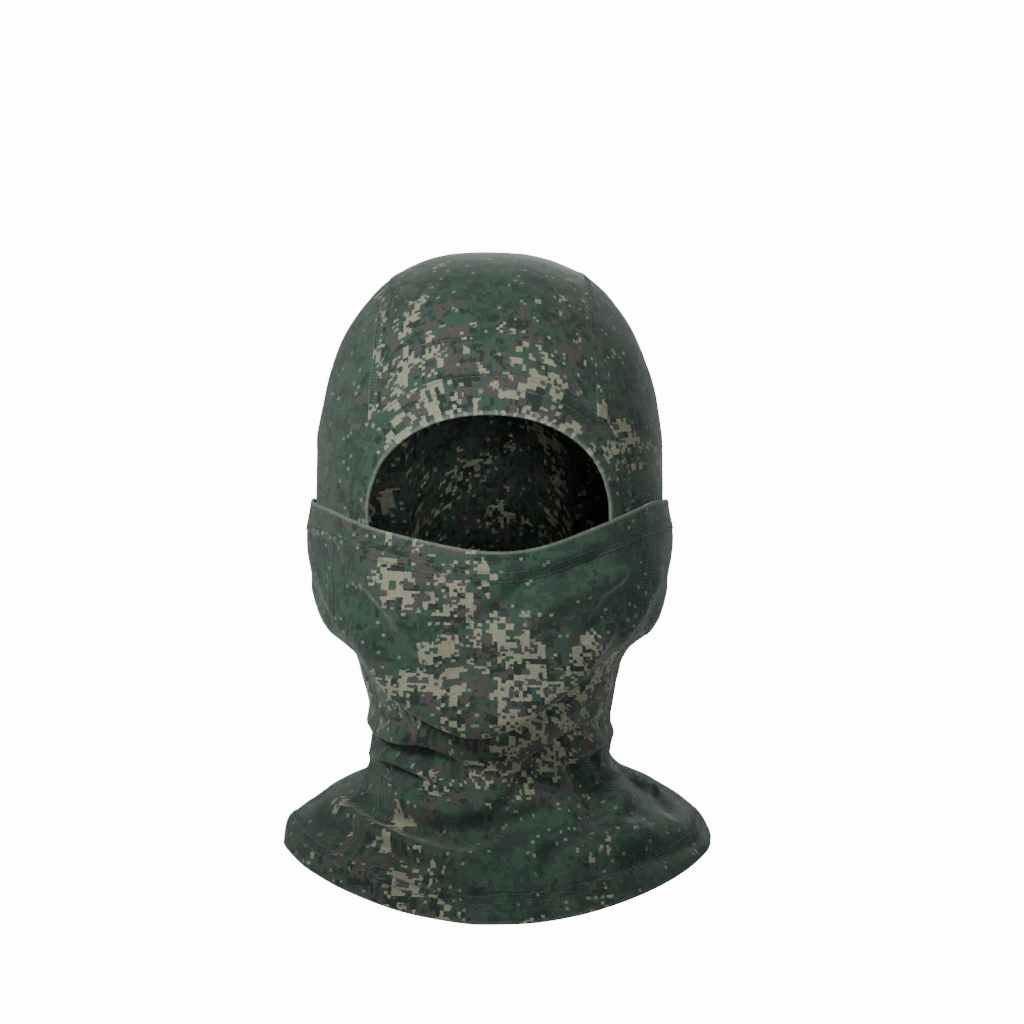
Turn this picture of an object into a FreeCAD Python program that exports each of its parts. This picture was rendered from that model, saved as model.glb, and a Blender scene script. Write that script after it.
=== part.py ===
"""Two-piece knitted balaclava: a three-panel hood inside a pull-up neck gaiter.

Frame: millimetres, +Z up, the wearer looks along -Y, +X is the wearer's left.
The origin is the centre of the head at ear level, where the head holds the mask.

Angles called turn run round the Z axis: 0 at the face, 90 at the left ear, 180 at the nape.
Every panel is a patch of one head form, cut from fabric of one thickness.
"""

import FreeCAD, Part
import math
import os
from FreeCAD import Vector

# ---- fabric and thread -------------------------------------------------------------------
FABRIC = 1.0  # knitted polyester jersey
EASE = 3.6  # how far the gaiter's outside stands off the hood's outside
SEAM_HALF = 2.5  # half the width of a flatlock seam
SEAM_PROUD = 0.25  # how far seam threads stand out of the fabric on each side
GAP = 0.4  # clearance between pieces that are sewn edge to edge
THREAD = 0.5  # thickness of a line of cover stitch
THREAD_GAP = 0.05  # between the thread and the cloth it lies on
ELASTIC_WIDTH = 6.0
ELASTIC_IN = 0.3  # how far past the middle of its channel an elastic sits
ELASTIC_THICK = 0.6

# ---- head form (the hood's outside) ------------------------------------------------------
EQUATOR_Z = 5.0  # the widest level of the head
HALF_WIDTH = 83.0
FRONT = 98.0
BACK = 98.0
CROWN_RISE = 116.0  # from the equator to the top of the hood
PLAN_POWER = 2.2  # superellipse power of the level sections
CROWN_POWER = 2.45  # and of the upright sections over the crown
# Below the equator: level z, then half width, reach to the front and reach to the back.
FORM = [
    (5, 83.0, 98.0, 98.0),
    (-20, 83.8, 102.5, 92.0),
    (-42, 79.5, 103.5, 82.0),
    (-56, 74.0, 102.5, 75.0),
    (-68, 62.0, 100.0, 69.0),
    (-82, 57.5, 96.5, 64.0),
    (-97, 54.5, 87.0, 60.5),
    (-112, 53.5, 70.0, 59.0),
    (-127, 57.5, 62.5, 60.0),
    (-137, 76.0, 64.0, 66.0),
    (-148, 92.0, 69.5, 74.0),
    (-160, 98.9, 76.5, 81.0),
    (-174, 101.5, 84.0, 86.0),
    (-190, 103.0, 91.0, 90.0),
]

# ---- gaiter edges ------------------------------------------------------------------------
# The level of each edge at the ears, and how far it drops to the front and to the back.
TOP_SIDE_Z, TOP_FRONT_DROP, TOP_BACK_DROP = 2.0, 16.0, 26.0
BOTTOM_SIDE_Z, BOTTOM_FRONT_DROP, BOTTOM_BACK_DROP = -160.0, 24.0, 14.0
DROP_POWER = 1.65
SIDE_SEAM_TURN = 50.0  # the seams between the gaiter's front and back panels
HEM_WIDTH = 14.0
NEEDLES = (8.5, 12.6)  # how far from a hem's edge its two needle lines run
NEEDLE_LINE = 0.7  # the width of one
FOLD_GAP = 1.0  # room between a hem's two layers, where its elastic lies
FLAT_GAP = 0.3  # and in a hem without elastic
COVER_HEM_GAP = 0.5  # degrees the cover's hem ends short of the side seam
BOTTOM_HEM_GAP = 0.3  # degrees left open where the bottom hem meets itself at the left seam

# ---- hood edges --------------------------------------------------------------------------
OPENING_MID_Z = 3.0
OPENING_HALF_WIDTH = 55.5
OPENING_RISE = 46.5
OPENING_POWER = 2.3
HOOD_BOTTOM_Z = -96.0
JOIN_GAP = 0.35  # between the neck join and the layers on both sides of it
CHEEK_BOTTOM_X = 34.0  # half the width of the opening where the hood ends under the chin
# The crown seams' distance from the centre line, which shrinks from the brow to the nape.
SEAM_BROW_X, SEAM_CROWN_X, SEAM_NAPE_X = 52.0, 44.0, 36.0
SEAM_BROW_ARC, SEAM_CROWN_ARC = 32.0, 100.0
OVAL_SHARE = 0.45  # the share of the opening's half edge that belongs to its rounded top
BROW_WIDENING = 0.3  # how much wider the brow's hem is in the middle than at the crown seams

PARTS = "parts"
CUBIC = 3  # degree of every panel surface
FIELD_STEP = 0.5  # a small step off a point, for finding what is square to the head form
EDGE_STEP = 0.005  # a small step along the opening's edge, for finding its direction
HOOD_EDGE_LENGTH = 160.0  # from the middle of the brow to under the chin
CHEEK_RADIUS = 85.0  # the gaiter's, where its side seams run; it turns widths into degrees
CHEEK_STITCH_END = 0.955  # where on the opening's edge the stitching stops, above the neck join
JOIN_LOW, JOIN_HIGH = 1.0, 4.0  # the neck join's band, above the hood's bottom edge


def between(a, b, t):
    return a + (b - a) * t


def form_at(z):
    """Half width, front and back reach of the head form at a level below the equator."""
    rows = FORM
    z = max(min(z, rows[0][0]), rows[-1][0])
    i = 0
    while i < len(rows) - 2 and z < rows[i + 1][0]:
        i += 1
    a, b = rows[i], rows[i + 1]
    span = b[0] - a[0]
    t = (z - a[0]) / span
    found = []
    for k in (1, 2, 3):
        before = rows[i - 1] if i > 0 else None
        after = rows[i + 2] if i + 2 < len(rows) else None
        slope_a = (b[k] - before[k]) / (b[0] - before[0]) if before else 0.0
        slope_b = (after[k] - a[k]) / (after[0] - a[0]) if after else (b[k] - a[k]) / span
        t2, t3 = t * t, t * t * t
        found.append(
            (2 * t3 - 3 * t2 + 1) * a[k]
            + (t3 - 2 * t2 + t) * span * slope_a
            + (-2 * t3 + 3 * t2) * b[k]
            + (t3 - t2) * span * slope_b
        )
    return found


def form_point(turn, z, out=0.0):
    """A point of the head form below the equator, moved out by so many millimetres."""
    half, front, back = form_at(z)
    s, c = math.sin(math.radians(turn)), math.cos(math.radians(turn))
    reach = (front if c > 0 else back) + out
    r = (abs(s / (half + out)) ** PLAN_POWER + abs(c / reach) ** PLAN_POWER) ** (-1 / PLAN_POWER)
    return Vector(r * s, -r * c, z)


def form_field(x, y, z):
    """1 on the head form, less inside it and more outside."""
    if z >= EQUATOR_Z:
        plan = abs(x / HALF_WIDTH) ** PLAN_POWER
        plan += abs(y / (FRONT if y < 0 else BACK)) ** PLAN_POWER
        rise = (z - EQUATOR_Z) / CROWN_RISE
        return plan ** (CROWN_POWER / PLAN_POWER) + rise**CROWN_POWER
    half, front, back = form_at(z)
    plan = abs(x / half) ** PLAN_POWER + abs(y / (front if y < 0 else back)) ** PLAN_POWER
    return plan ** (CROWN_POWER / PLAN_POWER)


def lifted(point, out):
    """A point moved off the head form, square to it."""
    x, y, z = point
    h = FIELD_STEP
    square = Vector(
        form_field(x + h, y, z) - form_field(x - h, y, z),
        form_field(x, y + h, z) - form_field(x, y - h, z),
        form_field(x, y, z + h) - form_field(x, y, z - h),
    )
    return point + square.normalize() * out


def hood_point(turn, level):
    """A point of the hood: level 0 is the crown, 1 the equator and 2 the hood's bottom edge."""
    if level > 1:
        return form_point(turn, between(EQUATOR_Z, HOOD_BOTTOM_Z, level - 1))
    lat = math.radians(90 * (1 - level))
    s = math.cos(lat) * math.sin(math.radians(turn))
    c = math.cos(lat) * math.cos(math.radians(turn))
    up = math.sin(lat)
    plan = abs(s / HALF_WIDTH) ** PLAN_POWER
    plan += abs(c / (FRONT if c > 0 else BACK)) ** PLAN_POWER
    total = plan ** (CROWN_POWER / PLAN_POWER) + (up / CROWN_RISE) ** CROWN_POWER
    r = total ** (-1 / CROWN_POWER)
    return Vector(r * s, -r * c, EQUATOR_Z + r * up)


def hood_place(point):
    """The turn and level of a point on the hood's outside, the inverse of hood_point."""
    turn = math.degrees(math.atan2(point.x, -point.y))
    if point.z < EQUATOR_Z:
        return turn, 1 + (EQUATOR_Z - point.z) / (EQUATOR_Z - HOOD_BOTTOM_Z)
    level = math.degrees(math.atan2(math.hypot(point.x, point.y), point.z - EQUATOR_Z)) / 90
    return turn, level


def crown_point(x, arc):
    """A point at distance x from the centre line, on the arc from the face (0) over the crown (90)
    to the nape (180). Past 180 the arc counts millimetres down the nape."""
    if arc > 180:
        z = EQUATOR_Z - (arc - 180)
        half, _, back = form_at(z)
        share = abs(x / half) ** PLAN_POWER
        return Vector(x, back * (1 - share) ** (1 / PLAN_POWER), z)
    c, s = math.cos(math.radians(arc)), math.sin(math.radians(arc))
    low, high = 0.0, 2 * CROWN_RISE
    for _ in range(40):
        r = (low + high) / 2
        if form_field(x, -r * c, EQUATOR_Z + r * s) < 1:
            low = r
        else:
            high = r
    return Vector(x, -r * c, EQUATOR_Z + r * s)


def face_point(x, z):
    """A point on the hood's face side, found from where it is seen from the front."""
    half, front, plan = HALF_WIDTH, FRONT, 1.0
    if z >= EQUATOR_Z:
        rise = (z - EQUATOR_Z) / CROWN_RISE
        plan = (1 - rise**CROWN_POWER) ** (PLAN_POWER / CROWN_POWER)
    else:
        half, front, _ = form_at(z)
    left = max(plan - abs(x / half) ** PLAN_POWER, 0.0)
    return Vector(x, -front * left ** (1 / PLAN_POWER), z)


# ---- solids from grids of points ---------------------------------------------------------
def clamped(count):
    """The knots and multiplicities of a cubic with so many poles that ends on its end poles."""
    spans = count - 3
    return [k / spans for k in range(spans + 1)], [4] + [1] * (spans - 1) + [4]


def skin(grid):
    """A smooth surface that follows a grid of points and ends on its rim."""
    knots_u, mults_u = clamped(len(grid))
    knots_v, mults_v = clamped(len(grid[0]))
    surface = Part.BSplineSurface()
    surface.buildFromPolesMultsKnots(
        grid, mults_u, mults_v, knots_u, knots_v, False, False, CUBIC, CUBIC
    )
    return surface


def solid_between(outer, inner):
    """A closed solid between two grids of points that face each other."""
    surfaces = [skin(outer), skin(inner)]
    faces = [s.toShape() for s in surfaces]
    for u in (0, 1):
        edges = []
        for s in surfaces:
            u0, u1, _, _ = s.bounds()
            edges.append(s.uIso(u1 if u else u0).toShape())
        faces.append(Part.makeRuledSurface(edges[0], edges[1]))
    for v in (0, 1):
        edges = []
        for s in surfaces:
            _, _, v0, v1 = s.bounds()
            edges.append(s.vIso(v1 if v else v0).toShape())
        faces.append(Part.makeRuledSurface(edges[0], edges[1]))
    shell = Part.Shell(faces)
    shell.sewShape()
    solid = Part.Solid(shell)
    if solid.Volume < 0:
        solid.reverse()
    if not solid.isValid() or not solid.isClosed():
        solid.fix(0.001, 0.001, 0.001)
    return solid


def patch(point, columns, rows, outside=0.0, thickness=FABRIC):
    """A panel of fabric: point(p, q, out) gives its outside for p and q from 0 to 1."""

    def grid(out):
        return [
            [point(i / (columns - 1), j / (rows - 1), out) for j in range(rows)]
            for i in range(columns)
        ]

    return solid_between(grid(outside), grid(outside - thickness))


def save(name, *solids):
    shape = solids[0] if len(solids) == 1 else Part.makeCompound(solids)
    shape.exportStep(os.path.join(PARTS, name + ".step"))
    state = "ok" if all(s.isValid() and s.isClosed() for s in solids) else "OPEN"
    print(f"{name:28s} {len(solids)} solid(s) {sum(s.Volume for s in solids):9.0f} mm3 {state}")


# ---- gaiter ------------------------------------------------------------------------------
def edge_z(turn, side, front_drop, back_drop):
    c = math.cos(math.radians(turn))
    return side - (front_drop if c > 0 else back_drop) * abs(c) ** DROP_POWER


def top_z(turn):
    return edge_z(turn, TOP_SIDE_Z, TOP_FRONT_DROP, TOP_BACK_DROP)


def bottom_z(turn):
    return edge_z(turn, BOTTOM_SIDE_Z, BOTTOM_FRONT_DROP, BOTTOM_BACK_DROP)


def from_bottom(turn, distance):
    """The level that lies so far up the fabric from the gaiter's bottom edge."""
    z, gone, step = bottom_z(turn), 0.0, 1.0
    here = form_point(turn, z, EASE)
    while True:
        there = form_point(turn, z + step, EASE)
        length = (there - here).Length
        if gone + length >= distance:
            return z + step * (distance - gone) / length
        z, gone, here = z + step, gone + length, there


def gaiter_panel(turn_a, turn_b, columns, rows):
    """A gaiter panel between two turns, from under its top hem to its bottom hem."""

    def point(p, q, out):
        turn = between(turn_a, turn_b, p)
        z = between(top_z(turn) - HEM_WIDTH - GAP, from_bottom(turn, HEM_WIDTH + GAP), q)
        return form_point(turn, z, EASE + out)

    return patch(point, columns, rows)


def hem_section(layers_gap, width):
    """The folded edge of a hem, as (distance from the edge, distance out) of its middle line."""
    out = (layers_gap + FABRIC) / 2
    points = [(width, out), (width * 0.6, out), (width * 0.25, out)]
    for k in range(7):
        a = math.radians(90 - 30 * k)
        points.append((out - out * math.cos(a), out * math.sin(a)))
    points += [(width * 0.25, -out), (width * 0.6, -out), (width, -out)]
    return points


def folded_hem(place, columns, width=HEM_WIDTH, layers_gap=FOLD_GAP):
    """A strip folded over an edge. place(p, distance, out) is a point that far in from the edge,
    and out is measured from the middle of the fabric."""
    middle = hem_section(layers_gap, width)
    half = FABRIC / 2
    skins = []
    for side in (half, -half):
        rows = []
        for k, (d, out) in enumerate(middle):
            before, after = middle[max(k - 1, 0)], middle[min(k + 1, len(middle) - 1)]
            along = (after[0] - before[0], after[1] - before[1])
            size = math.hypot(*along)
            rows.append((d + side * along[1] / size, out - side * along[0] / size))
        skins.append([[place(i / (columns - 1), d, o) for d, o in rows] for i in range(columns)])
    return solid_between(skins[0], skins[1])


def top_hem_place(turn_a, turn_b):
    def place(p, distance, out):
        turn = between(turn_a, turn_b, p)
        return form_point(turn, top_z(turn) - distance, EASE - FABRIC / 2 + out)

    return place


def bottom_hem_place(p, distance, out):
    turn = between(SIDE_SEAM_TURN, SIDE_SEAM_TURN + 360 - BOTTOM_HEM_GAP, p)
    return form_point(turn, from_bottom(turn, distance), EASE - FABRIC / 2 + out)


def ribbon(place, columns, low, high, outside, inside):
    """A flat strip between two distances from an edge."""

    def grid(out):
        return [
            [place(i / (columns - 1), between(low, high, j / 3), out) for j in range(4)]
            for i in range(columns)
        ]

    return solid_between(grid(outside), grid(inside))


def stitch_lines(place, columns, face):
    """Two needle lines of cover stitch on a hem's outer face."""
    low, high = face + THREAD_GAP, face + THREAD_GAP + THREAD
    return [ribbon(place, columns, near, near + NEEDLE_LINE, high, low) for near in NEEDLES]


def elastic(place, columns):
    low = (NEEDLES[0] - ELASTIC_WIDTH) / 2 + ELASTIC_IN
    half = ELASTIC_THICK / 2
    return ribbon(place, columns, low, low + ELASTIC_WIDTH, half, -half)


HEM_FACE = FOLD_GAP / 2 + FABRIC  # a hem's outer face, from the middle of the fabric


def make_gaiter():
    seam = math.degrees(SEAM_HALF / CHEEK_RADIUS)
    front = SIDE_SEAM_TURN - seam
    rear = SIDE_SEAM_TURN + seam
    gap = math.degrees(GAP / CHEEK_RADIUS)
    save("gaiter_front_panel", gaiter_panel(-front + gap, front - gap, 17, 33))
    save("gaiter_back_panel", gaiter_panel(rear + gap, 360 - rear - gap, 37, 33))
    for side, name in ((1, "left"), (-1, "right")):

        def point(p, q, out, side=side):
            turn = side * SIDE_SEAM_TURN + between(-seam, seam, p)
            z = between(top_z(turn) - HEM_WIDTH - GAP, from_bottom(turn, HEM_WIDTH + GAP), q)
            return form_point(turn, z, EASE + out)

        strip = patch(point, 4, 33, SEAM_PROUD, FABRIC + 2 * SEAM_PROUD)
        save("side_seam_" + name, strip)
    cover_end = front - gap - COVER_HEM_GAP
    cover = top_hem_place(-cover_end, cover_end)
    save("face_cover_hem", folded_hem(cover, 17))
    save("face_cover_elastic", elastic(cover, 17))
    save("face_cover_hem_stitching", *stitch_lines(cover, 17, HEM_FACE))
    nape = top_hem_place(front + 2 * gap, 360 - front - 2 * gap)
    save("rear_top_hem", folded_hem(nape, 41))
    save("rear_top_elastic", elastic(nape, 41))
    save("rear_top_hem_stitching", *stitch_lines(nape, 41, HEM_FACE))
    save("bottom_hem", folded_hem(bottom_hem_place, 49, layers_gap=FLAT_GAP))
    face = FLAT_GAP / 2 + FABRIC
    save("bottom_hem_stitching", *stitch_lines(bottom_hem_place, 49, face))


# ---- hood --------------------------------------------------------------------------------
def opening_edge(w):
    """The face opening's edge as seen from the front: w runs from 0 at the middle of the brow to 1
    at the left end under the chin, and to -1 at the right end."""
    side, w = math.copysign(1, w), abs(w)
    if w < OVAL_SHARE:
        angle = math.radians(90 * (1 - w / OVAL_SHARE))
        c, s = math.cos(angle), math.sin(angle)
        size = (c**OPENING_POWER + s**OPENING_POWER) ** (-1 / OPENING_POWER)
        return side * OPENING_HALF_WIDTH * size * c, OPENING_MID_Z + OPENING_RISE * size * s
    drop = (w - OVAL_SHARE) / (1 - OVAL_SHARE)
    x = OPENING_HALF_WIDTH - (OPENING_HALF_WIDTH - CHEEK_BOTTOM_X) * drop**2
    return side * x, between(OPENING_MID_Z, HOOD_BOTTOM_Z, drop)


def opening_place(w, distance, out):
    """A point on the hood so far from the opening's edge, square to it. Below the brow's curve the
    way out turns level, so the hem's lower end is cut level too."""
    x, z = opening_edge(w)
    ahead, behind = opening_edge(w + EDGE_STEP), opening_edge(w - EDGE_STEP)
    square = Vector(behind[1] - ahead[1], 0, ahead[0] - behind[0]).normalize()
    level = max(0.0, abs(w) - OVAL_SHARE) / (1 - OVAL_SHARE)
    square = Vector(square.x, 0, square.z * (1 - level)).normalize()
    near, far = face_point(x, z), face_point(x + 5 * square.x, z + 5 * square.z)
    middle = max(0.0, 1 - (w / OVAL_SHARE) ** 2)
    reach = distance * (1 + BROW_WIDENING * middle) * 5 / (far - near).Length
    return lifted(face_point(x + reach * square.x, z + reach * square.z), out - FABRIC / 2)


def hem_end(x):
    """Where along the brow's edge the hem's upper side is so far from the centre line."""
    low, high = 0.0, OVAL_SHARE
    for _ in range(30):
        w = (low + high) / 2
        if opening_place(w, HEM_WIDTH + GAP, FABRIC / 2).x < x:
            low = w
        else:
            high = w
    return w


def crown_front(x):
    """Where the panels start above the brow hem, as an arc over the crown."""
    place = opening_place(hem_end(abs(x)), HEM_WIDTH + GAP, FABRIC / 2)
    return math.degrees(math.atan2(place.z - EQUATOR_Z, -place.y))


NAPE_ARC = 180 + EQUATOR_Z - HOOD_BOTTOM_Z


def seam_x(arc):
    """How far a crown seam's middle is from the centre line."""
    front = max(0.0, min(1.0, (arc - SEAM_BROW_ARC) / (SEAM_CROWN_ARC - SEAM_BROW_ARC)))
    rear = max(0.0, min(1.0, (arc - SEAM_CROWN_ARC) / (NAPE_ARC - SEAM_CROWN_ARC)))
    crown = between(SEAM_BROW_X, SEAM_CROWN_X, front * front * (3 - 2 * front))
    return between(crown, SEAM_NAPE_X, rear)


def brow_place(p, distance, out):
    """The brow hem, from the right crown seam to the left."""
    end = hem_end(SEAM_BROW_X)
    return opening_place(between(-end, end, p), distance, out)


def cheek_place(side, stop=1.0):
    """The opening's hem from a crown seam down to the neck, or its stitching."""
    start = hem_end(SEAM_BROW_X) + GAP / HOOD_EDGE_LENGTH

    def place(p, distance, out):
        return opening_place(side * between(start, stop, p), distance, out)

    return place


def side_panel(side):
    """A hood side panel: crown seam above and behind, cheek hem in front, neck seam below."""
    edge_x = SEAM_BROW_X + SEAM_HALF + GAP
    start_w, start_arc = hem_end(edge_x), crown_front(edge_x)

    def along_seam(arc):
        return hood_place(crown_point(seam_x(arc) + SEAM_HALF + GAP, arc))

    def top(p):
        return along_seam(between(start_arc, 180, p))

    def back(q):
        return along_seam(between(180, NAPE_ARC, q))

    def front(q):
        return hood_place(opening_place(between(start_w, 1, q), HEM_WIDTH + GAP, FABRIC / 2))

    def bottom(p):
        return between(front(1)[0], back(1)[0], p), between(front(1)[1], back(1)[1], p)

    def point(p, q, out):
        values = []
        for k in (0, 1):
            sides = between(front(q)[k], back(q)[k], p) + between(top(p)[k], bottom(p)[k], q)
            upper = between(top(0)[k], top(1)[k], p)
            lower = between(bottom(0)[k], bottom(1)[k], p)
            values.append(sides - between(upper, lower, q))
        return lifted(hood_point(side * values[0], values[1]), out)

    return patch(point, 41, 49)


def make_hood():
    def crown(p, q, out):
        x = between(-1, 1, p)
        first = crown_front(x * (SEAM_BROW_X - SEAM_HALF - GAP))
        arc = between(first, NAPE_ARC, q)
        return lifted(crown_point(x * (seam_x(arc) - SEAM_HALF - GAP), arc), out)

    save("crown_panel", patch(crown, 13, 61))
    for side, name in ((1, "left"), (-1, "right")):

        def strip(p, q, out, side=side):
            across = between(-SEAM_HALF, SEAM_HALF, p)
            arc = between(crown_front(SEAM_BROW_X + across), NAPE_ARC, q)
            return lifted(crown_point(side * (seam_x(arc) + across), arc), out)

        seam = patch(strip, 4, 61, SEAM_PROUD, FABRIC + 2 * SEAM_PROUD)
        save("crown_seam_" + name, seam)
        save("hood_side_panel_" + name, side_panel(side))
        save("cheek_hem_" + name, folded_hem(cheek_place(side), 49, layers_gap=FLAT_GAP))
        sewn = cheek_place(side, CHEEK_STITCH_END)
        save("cheek_hem_stitching_" + name, *stitch_lines(sewn, 49, FLAT_GAP / 2 + FABRIC))
    save("brow_hem", folded_hem(brow_place, 33))
    save("brow_elastic", elastic(brow_place, 33))
    save("brow_hem_stitching", *stitch_lines(brow_place, 33, HEM_FACE))


def make_neck_join():
    """The seam that closes the hood's bottom edge onto the gaiter's inside."""
    first = opening_place(1, HEM_WIDTH, 0)
    start = math.degrees(math.atan2(first.x, -first.y))

    def point(p, q, out):
        turn = between(start, 360 - start, p)
        z = HOOD_BOTTOM_Z + between(JOIN_HIGH, JOIN_LOW, q)
        return form_point(turn, z, out)

    outside = EASE - FABRIC - JOIN_GAP
    save("neck_join_seam", patch(point, 49, 4, outside, outside - JOIN_GAP - SEAM_PROUD))


os.makedirs(PARTS, exist_ok=True)
make_gaiter()
make_hood()
make_neck_join()
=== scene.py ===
"""A knitted balaclava in digital camouflage: a hood with an oval face opening, inside a neck gaiter
that is pulled up over nose and mouth and flares over the shoulders. The head isn't shown.

Frame: +Z up, the wearer looks along -Y, +X is the wearer's left. Shapes are worked out in
millimetres and turned into metres when a mesh is made.
"""

import math
import bpy
import numpy as np
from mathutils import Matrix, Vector


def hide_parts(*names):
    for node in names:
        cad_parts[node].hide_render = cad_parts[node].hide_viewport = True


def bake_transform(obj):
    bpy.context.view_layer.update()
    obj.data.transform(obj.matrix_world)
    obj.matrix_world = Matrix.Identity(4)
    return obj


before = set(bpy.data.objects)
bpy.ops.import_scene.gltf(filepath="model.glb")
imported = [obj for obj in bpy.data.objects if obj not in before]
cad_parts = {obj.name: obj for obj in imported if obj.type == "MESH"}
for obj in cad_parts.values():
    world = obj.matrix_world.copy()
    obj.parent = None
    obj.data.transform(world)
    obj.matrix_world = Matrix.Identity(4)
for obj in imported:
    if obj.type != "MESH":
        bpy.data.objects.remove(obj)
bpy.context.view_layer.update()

# ---- camouflage knit --------------------------------------------------------------------
# Brushed polyester jersey with a sublimation print: a green ground, dark green and grey-brown
# patches, sandy patches on top, all built from square cells. It has a matte nap and a fine rib.
FINE_CELL = 1.5  # mm, the smallest square of the print
COARSE_CELL = 3.0  # mm, the squares that patches are built from


def colour(code):
    """An sRGB hex code as a linear colour."""
    parts = [int(code[i : i + 2], 16) / 255 for i in (1, 3, 5)]
    linear = [p / 12.92 if p <= 0.04045 else ((p + 0.055) / 1.055) ** 2.4 for p in parts]
    return (*linear, 1.0)


def add(tree, kind, inputs=(), **settings):
    """Adds a node. inputs maps a socket's name or number to a constant or to another's output."""
    node = tree.nodes.new(kind)
    for key, value in settings.items():
        setattr(node, key, value)
    for key, value in dict(inputs).items():
        if isinstance(value, bpy.types.NodeSocket):
            tree.links.new(value, node.inputs[key])
        else:
            node.inputs[key].default_value = value
    return node


def cells(tree, place, size, shift):
    """The corner of the print's square that a point lies in, in millimetres."""
    moved = add(tree, "ShaderNodeVectorMath", {0: place, 1: shift}, operation="ADD")
    squares = {0: moved.outputs[0], 1: (size, size, size)}
    return add(tree, "ShaderNodeVectorMath", squares, operation="SNAP").outputs[0]


def patch_field(tree, place, span, shift, stretch):
    """A number about 0.5 that drifts over a patch's span in mm, even over each square, and
    scattered a little from square to square so that a patch's edge breaks up."""
    parts = []
    for size, reach, share in ((COARSE_CELL, span, 0.64), (FINE_CELL, span / 2.6, 0.2)):
        corner = {0: cells(tree, place, size, shift), 1: (1, stretch, 1)}
        squeezed = add(tree, "ShaderNodeVectorMath", corner, operation="MULTIPLY")
        drift = {"Vector": squeezed.outputs[0], "Scale": 1 / reach, "Detail": 2.0, "Roughness": 0.6}
        parts.append((add(tree, "ShaderNodeTexNoise", drift).outputs["Fac"], share))
    for size, share in ((COARSE_CELL, 0.10), (FINE_CELL, 0.06)):
        scatter = add(tree, "ShaderNodeTexWhiteNoise", {"Vector": cells(tree, place, size, shift)})
        parts.append((scatter.outputs["Value"], share))
    total = 0.0
    for part, share in parts:
        part = {0: part, 1: share, 2: total}
        total = add(tree, "ShaderNodeMath", part, operation="MULTIPLY_ADD").outputs[0]
    return total


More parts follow.
